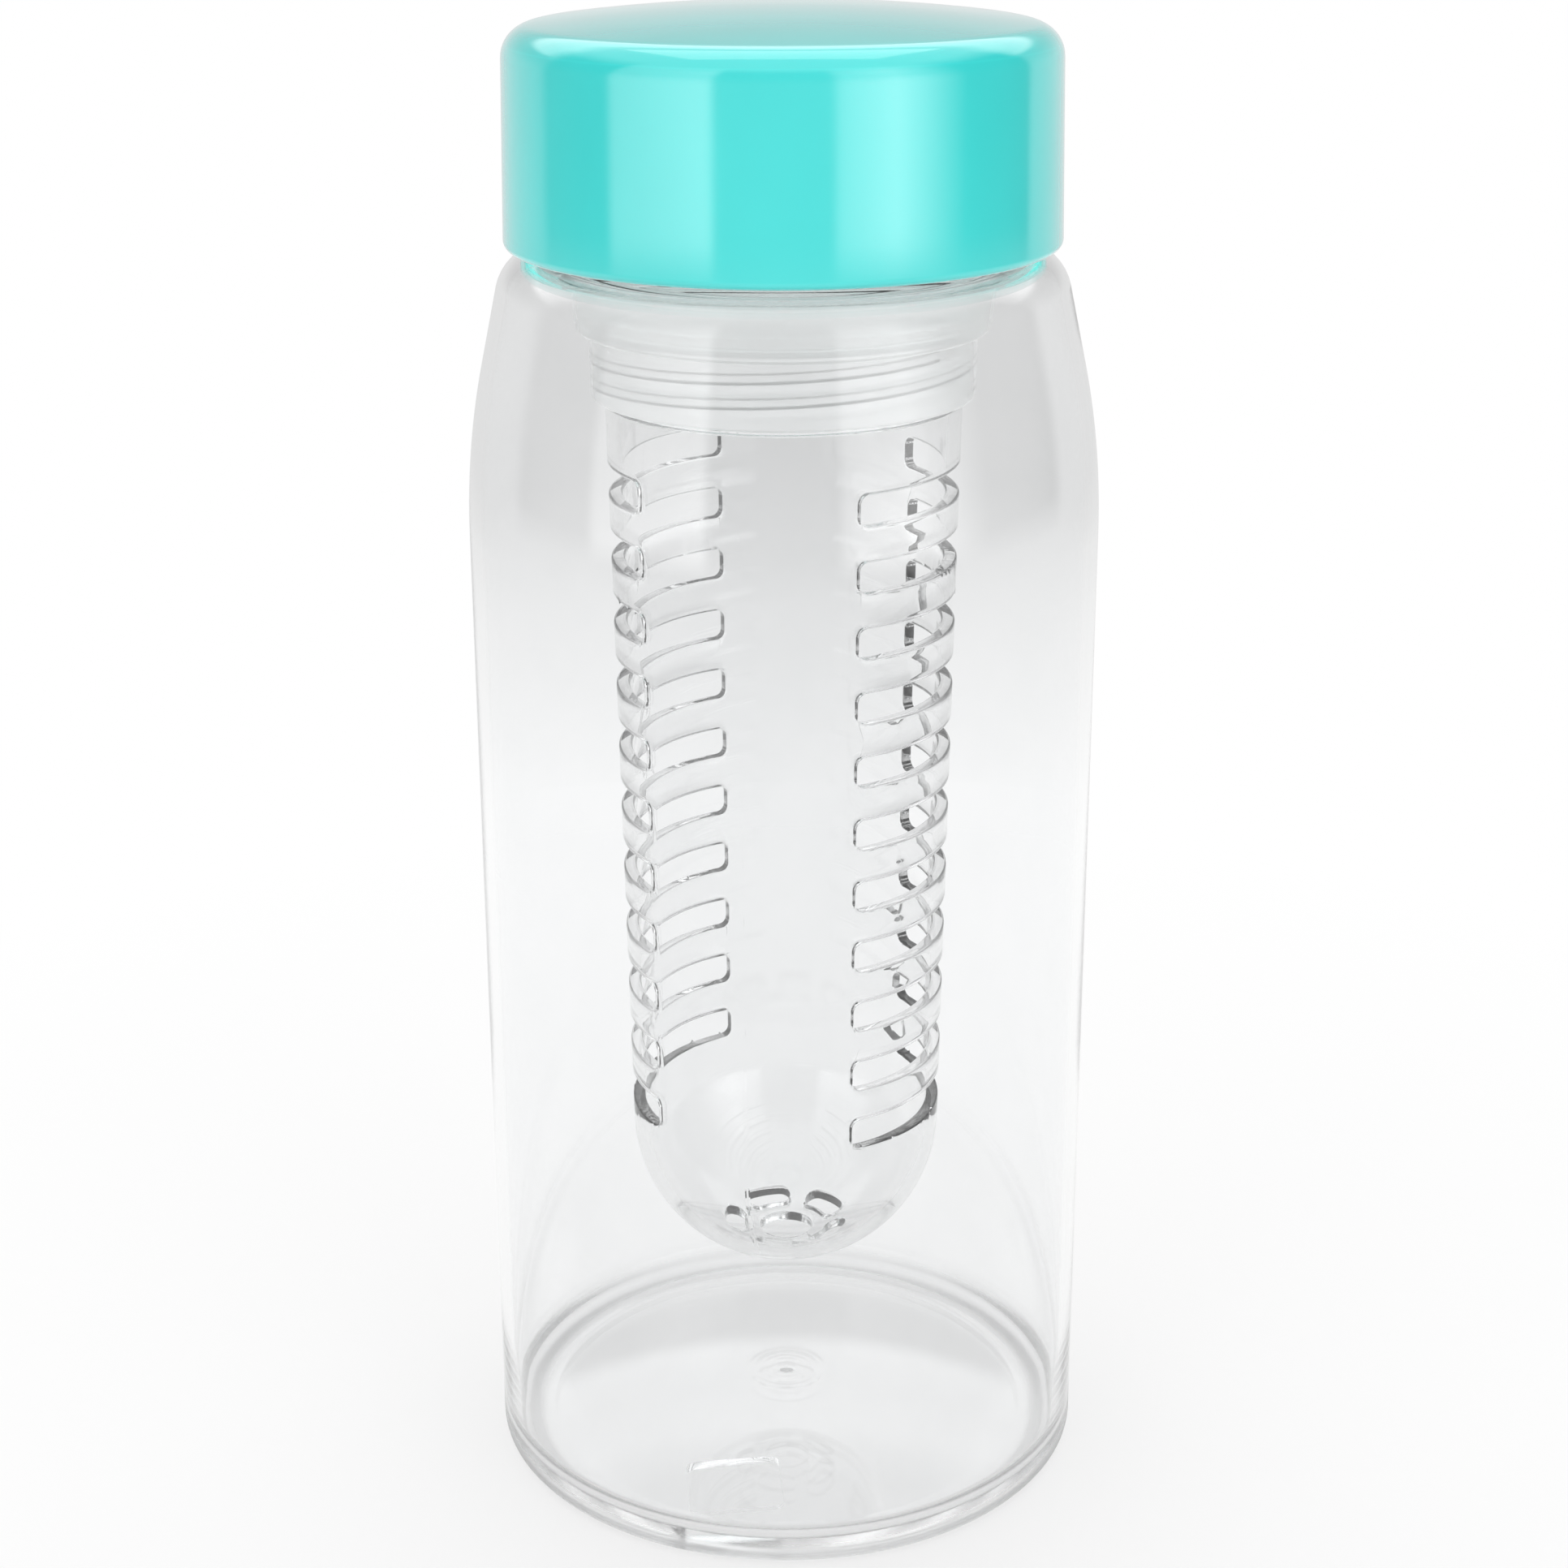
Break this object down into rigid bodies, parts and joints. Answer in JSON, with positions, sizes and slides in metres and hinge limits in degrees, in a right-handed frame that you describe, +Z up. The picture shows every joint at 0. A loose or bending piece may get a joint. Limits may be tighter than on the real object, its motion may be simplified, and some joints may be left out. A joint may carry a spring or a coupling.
{
  "type": "fruit infuser water bottle",
  "caption": "Clear cylindrical water bottle with a tapered shoulder, glossy screw lid and a slotted round-nosed fruit infuser basket hanging from a frosted threaded holder.",
  "frame": {"origin": "centre of the bottle's footprint, on the surface that it stands on", "axes": "+Z up along the bottle's axis, -Y towards the viewer of the picture, +X to the viewer's right"},
  "size_m": [0.081, 0.081, 0.1959],
  "materials": {
    "clear_bottle": "clear glossy plastic",
    "clear_basket": "clear glossy plastic",
    "frosted_holder": "frosted translucent plastic",
    "silicone": "translucent silicone",
    "white_insert": "satin",
    "turquoise_lid": "glossy"
  },
  "bodies": {
    "bottle": {"bottle_body": "clear_bottle"},
    "holder": {"infuser_collar": "frosted_holder", "neck_seal": "silicone"},
    "lid_ring": {"lid_gasket": "silicone"},
    "lid": {"lid_insert": "white_insert", "lid_shell": "turquoise_lid"},
    "basket_ring": {"basket_seal": "silicone"},
    "basket": {"infuser_basket": "clear_basket"}
  },
  "joints": [
    {"name": "infuser_lift", "type": "slide", "parent": "bottle", "child": "holder", "axis": [0, 0, 1], "range_m": [0, 0.165]},
    {"name": "lid_rise", "type": "slide", "parent": "holder", "child": "lid_ring", "axis": [0, 0, 1], "range_m": [0, 0.006]},
    {"name": "lid_turn", "type": "hinge", "parent": "lid_ring", "child": "lid", "pos_m": [0, 0, 0.18], "axis": [0, 0, 1], "range_deg": [0, 540]},
    {"name": "basket_drop", "type": "slide", "parent": "holder", "child": "basket_ring", "axis": [0, 0, -1], "range_m": [0, 0.009]},
    {"name": "basket_turn", "type": "hinge", "parent": "basket_ring", "child": "basket", "pos_m": [0, 0, 0.15], "axis": [0, 0, -1], "range_deg": [0, 540]}
  ],
  "couplings": [
    {"joint": "lid_rise", "follows": "lid_turn", "m_per_rad": 0.0006366},
    {"joint": "basket_drop", "follows": "basket_turn", "m_per_rad": 0.0009549}
  ]
}
